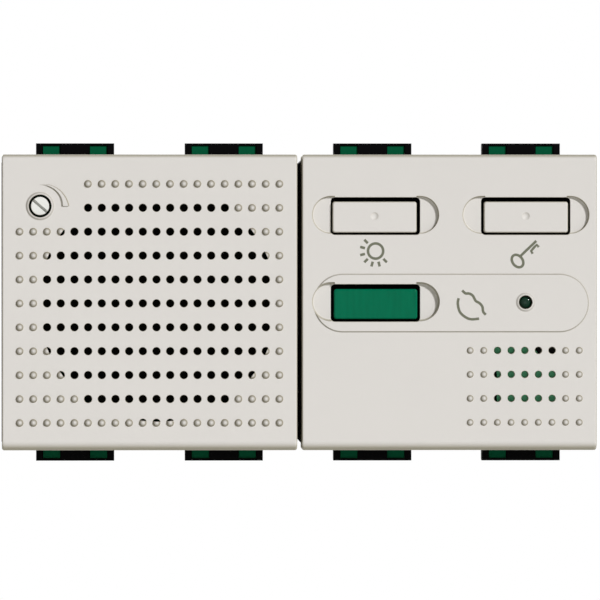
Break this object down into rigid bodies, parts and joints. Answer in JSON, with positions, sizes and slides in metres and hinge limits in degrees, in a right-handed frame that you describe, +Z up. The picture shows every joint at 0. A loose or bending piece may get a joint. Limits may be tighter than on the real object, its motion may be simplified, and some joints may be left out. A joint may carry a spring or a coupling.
{
  "type": "hands-free door-entry set with chime",
  "caption": "Flush door-entry set for a wall frame: a square loudspeaker module with a perforated grille and volume trimmer beside a square module with keys, status light and microphone.",
  "frame": {"origin": "midway between the two modules, at mid height, in the plane of the lugs' front faces", "axes": "+X to the right along the row of modules seen from the front, +Z up, the front plates face -Y"},
  "size_m": [0.0896, 0.0267, 0.048],
  "materials": {
    "grey_plastic": "moulded ASA, fine satin grain",
    "key_grey_plastic": "moulded ABS, fine satin grain",
    "green_gloss_plastic": "moulded ABS, glossy",
    "green_chassis_plastic": "moulded polyamide, plain",
    "black_plastic": "moulded polycarbonate, fine grain",
    "lens_green": "moulded acrylic, tinted dark green",
    "black_cloth": "acoustic cloth",
    "black_rubber": "moulded rubber",
    "gasket_foam": "closed-cell foam",
    "cone_paper": "pressed paper, black",
    "plated_steel": "zinc plated",
    "ferrite": "sintered ferrite, ground faces",
    "copper": "enamelled copper wire",
    "board_laminate": "glass-fibre laminate with solder mask",
    "chip_black": "moulded epoxy and metal cans",
    "terminal_plastic": "moulded polyamide",
    "trimmer_plastic": "moulded polyamide",
    "switch_plastic": "moulded polyamide",
    "plunger_plastic": "moulded acetal",
    "lamp_resin": "clear resin"
  },
  "bodies": {
    "chime": {"speaker_cover": "grey_plastic", "speaker_chassis": "green_chassis_plastic", "speaker_housing": "black_plastic", "grille_cloth": "black_cloth", "speaker_gasket": "gasket_foam", "speaker_basket": "plated_steel", "speaker_surround": "black_rubber", "speaker_top_plate": "plated_steel", "speaker_magnet": "ferrite", "speaker_yoke": "plated_steel", "speaker_leads": "copper", "speaker_board": "board_laminate", "speaker_board_parts": "chip_black", "speaker_board_screws": "plated_steel", "trimmer_body": "switch_plastic", "speaker_terminal_block": "terminal_plastic", "speaker_terminal_screws": "plated_steel", "speaker_link_socket": "terminal_plastic", "key_cover": "grey_plastic", "key_chassis": "green_chassis_plastic", "key_housing": "black_plastic", "light_key_switch": "switch_plastic", "lock_key_switch": "switch_plastic", "talk_key_switch": "switch_plastic", "status_light_pipe": "lens_green", "status_lamp": "lamp_resin", "microphone_boot": "black_rubber", "microphone_capsule": "plated_steel", "key_board": "board_laminate", "key_board_parts": "chip_black", "board_link": "terminal_plastic", "main_board": "board_laminate", "main_board_parts": "chip_black", "main_board_screws": "plated_steel", "key_terminal_block": "terminal_plastic", "key_terminal_screws": "plated_steel", "key_link_socket": "terminal_plastic", "setting_header": "terminal_plastic", "jumper_caps": "switch_plastic"},
    "light_key": {"light_key": "key_grey_plastic"},
    "lock_key": {"lock_key": "key_grey_plastic"},
    "talk_key": {"talk_key": "green_gloss_plastic"},
    "light_key_plunger": {"light_key_plunger": "plunger_plastic"},
    "lock_key_plunger": {"lock_key_plunger": "plunger_plastic"},
    "talk_key_plunger": {"talk_key_plunger": "plunger_plastic"},
    "volume_trimmer": {"trimmer_rotor": "trimmer_plastic"},
    "cone_assembly": {"speaker_cone": "cone_paper", "speaker_dust_cap": "cone_paper", "speaker_voice_coil": "copper"}
  },
  "joints": [
    {"name": "light_key_press", "type": "slide", "parent": "chime", "child": "light_key", "axis": [0, 1, 0], "range_m": [0, 0.0008], "stiffness_N_per_m": 1200},
    {"name": "light_key_plunger_press", "type": "slide", "parent": "chime", "child": "light_key_plunger", "axis": [0, 1, 0], "range_m": [0, 0.0008]},
    {"name": "lock_key_press", "type": "slide", "parent": "chime", "child": "lock_key", "axis": [0, 1, 0], "range_m": [0, 0.0008], "stiffness_N_per_m": 1200},
    {"name": "lock_key_plunger_press", "type": "slide", "parent": "chime", "child": "lock_key_plunger", "axis": [0, 1, 0], "range_m": [0, 0.0008]},
    {"name": "talk_key_press", "type": "slide", "parent": "chime", "child": "talk_key", "axis": [0, 1, 0], "range_m": [0, 0.0008], "stiffness_N_per_m": 1200},
    {"name": "talk_key_plunger_press", "type": "slide", "parent": "chime", "child": "talk_key_plunger", "axis": [0, 1, 0], "range_m": [0, 0.0008]},
    {"name": "volume_turn", "type": "hinge", "parent": "chime", "child": "volume_trimmer", "pos_m": [-0.03891, 0, 0.01447], "axis": [0, 1, 0], "range_deg": [-130, 130]},
    {"name": "cone_stroke", "type": "slide", "parent": "chime", "child": "cone_assembly", "axis": [0, 1, 0], "range_m": [-0.0003, 0.0003], "stiffness_N_per_m": 1500, "deforming": ["speaker_surround"]}
  ],
  "couplings": [
    {"joint": "light_key_plunger_press", "follows": "light_key_press", "ratio": 1},
    {"joint": "lock_key_plunger_press", "follows": "lock_key_press", "ratio": 1},
    {"joint": "talk_key_plunger_press", "follows": "talk_key_press", "ratio": 1}
  ]
}
